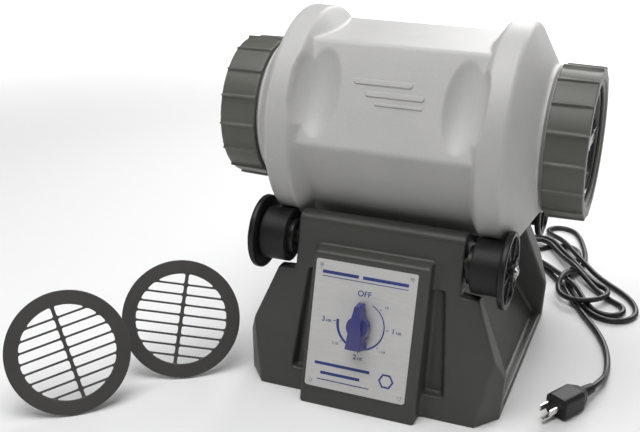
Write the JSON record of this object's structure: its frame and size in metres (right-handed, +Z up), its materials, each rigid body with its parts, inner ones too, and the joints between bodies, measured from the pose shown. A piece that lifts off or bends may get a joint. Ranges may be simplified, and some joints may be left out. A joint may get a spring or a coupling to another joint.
{
  "type": "rotary rock tumbler",
  "caption": "Bench rotary tumbler: a hexagonal lined barrel with screw-collar windows rolls on flanged rollers over a motor base with a dial timer; two strainers and a power cord.",
  "frame": {"origin": "on the floor under the middle of the base, in the plane of the housing rim", "axes": "+Z up; +X along the barrel axis to the right of someone facing the control panel; -Y towards that person"},
  "size_m": [0.6072, 0.7049, 0.3882],
  "materials": {
    "barrel_plastic": "fine moulded grain",
    "liner_rubber": "matt",
    "gasket_rubber": "matt",
    "window_clear": "clear smoked plastic",
    "collar_plastic": "satin moulded",
    "base_plastic": "satin moulded",
    "steel": "turned",
    "tyre_rubber": "satin",
    "label_print": "silver with blue print",
    "timer_case": "moulded",
    "knob_plastic": "gloss moulded",
    "iron": "laminated",
    "copper_coil": "enamelled winding",
    "black_plastic": "satin moulded",
    "cord_rubber": "satin",
    "brass_blade": "plated",
    "bronze": "sintered"
  },
  "bodies": {
    "base": {"base_housing": "base_plastic", "bottom_plate": "base_plastic", "bottom_screws": "steel", "rubber_feet": "tyre_rubber", "label_plate": "label_print", "label_rivets": "steel", "timer_body": "timer_case", "timer_nut": "steel", "motor_stack": "iron", "motor_coil": "copper_coil", "motor_brackets": "steel", "motor_screws": "steel", "drive_belt": "tyre_rubber", "shaft_bushings": "bronze", "strain_relief": "cord_rubber", "cord_lead": "cord_rubber", "cord_bundle": "cord_rubber", "cord_tail": "cord_rubber", "plug_body": "cord_rubber", "plug_blades": "brass_blade", "plug_ground_pin": "brass_blade"},
    "barrel": {"barrel_shell": "barrel_plastic", "barrel_liner": "liner_rubber"},
    "drive_rollers": {"drive_shaft": "steel", "drive_hub_left": "black_plastic", "drive_hub_right": "black_plastic", "drive_tyre_left": "tyre_rubber", "drive_tyre_right": "tyre_rubber", "drive_spacers": "black_plastic", "drive_clips": "steel", "drive_pulley": "black_plastic"},
    "idler_rollers": {"idler_shaft": "steel", "idler_hub_left": "black_plastic", "idler_hub_right": "black_plastic", "idler_tyre_left": "tyre_rubber", "idler_tyre_right": "tyre_rubber", "idler_spacers": "black_plastic", "idler_clips": "steel"},
    "rotor": {"motor_rotor": "steel", "motor_pulley": "black_plastic", "cooling_fan": "black_plastic"},
    "timer": {"timer_shaft": "steel", "timer_knob": "knob_plastic"},
    "window_left": {"end_window_left": "window_clear", "window_gasket_left": "gasket_rubber"},
    "window_right": {"end_window_right": "window_clear", "window_gasket_right": "gasket_rubber"},
    "collar_left": {"screw_collar_left": "collar_plastic"},
    "collar_right": {"screw_collar_right": "collar_plastic"},
    "strainer_left": {"strainer_left": "collar_plastic"},
    "strainer_right": {"strainer_right": "collar_plastic"}
  },
  "joints": [
    {"name": "barrel_spin", "type": "hinge", "parent": "base", "child": "barrel", "pos_m": [0, 0, 0.27], "axis": [1, 0, 0], "continuous": true},
    {"name": "drive_spin", "type": "hinge", "parent": "base", "child": "drive_rollers", "pos_m": [0, 0.0975, 0.16], "axis": [1, 0, 0], "continuous": true},
    {"name": "idler_spin", "type": "hinge", "parent": "base", "child": "idler_rollers", "pos_m": [0, -0.0975, 0.16], "axis": [1, 0, 0], "continuous": true},
    {"name": "motor_spin", "type": "hinge", "parent": "base", "child": "rotor", "pos_m": [0, 0.03, 0.055], "axis": [1, 0, 0], "continuous": true},
    {"name": "timer_turn", "type": "hinge", "parent": "base", "child": "timer", "pos_m": [-0.0065, -0.14203, 0.0908], "axis": [0, 0.9642, -0.2652], "range_deg": [0, 285]},
    {"name": "window_left_slide", "type": "slide", "parent": "barrel", "child": "window_left", "axis": [-1, 0, 0], "range_m": [0, 0.012]},
    {"name": "window_right_slide", "type": "slide", "parent": "barrel", "child": "window_right", "axis": [1, 0, 0], "range_m": [0, 0.012]},
    {"name": "collar_left_screw", "type": "hinge", "parent": "window_left", "child": "collar_left", "pos_m": [-0.17, 0, 0.27], "axis": [-1, 0, 0], "range_deg": [0, 540]},
    {"name": "collar_right_screw", "type": "hinge", "parent": "window_right", "child": "collar_right", "pos_m": [0.17, 0, 0.27], "axis": [1, 0, 0], "range_deg": [0, 540]},
    {"name": "strainer_left_lift", "type": "slide", "parent": "base", "child": "strainer_left", "axis": [0, 0, 1], "range_m": [0, 0.15]},
    {"name": "strainer_right_lift", "type": "slide", "parent": "base", "child": "strainer_right", "axis": [0, 0, 1], "range_m": [0, 0.15]}
  ],
  "couplings": [
    {"joint": "drive_spin", "follows": "barrel_spin", "ratio": -4.1474},
    {"joint": "idler_spin", "follows": "barrel_spin", "ratio": -4.1474},
    {"joint": "motor_spin", "follows": "barrel_spin", "ratio": -11.466},
    {"joint": "window_left_slide", "follows": "collar_left_screw", "m_per_rad": 0.0012732},
    {"joint": "window_right_slide", "follows": "collar_right_screw", "m_per_rad": 0.0012732}
  ]
}
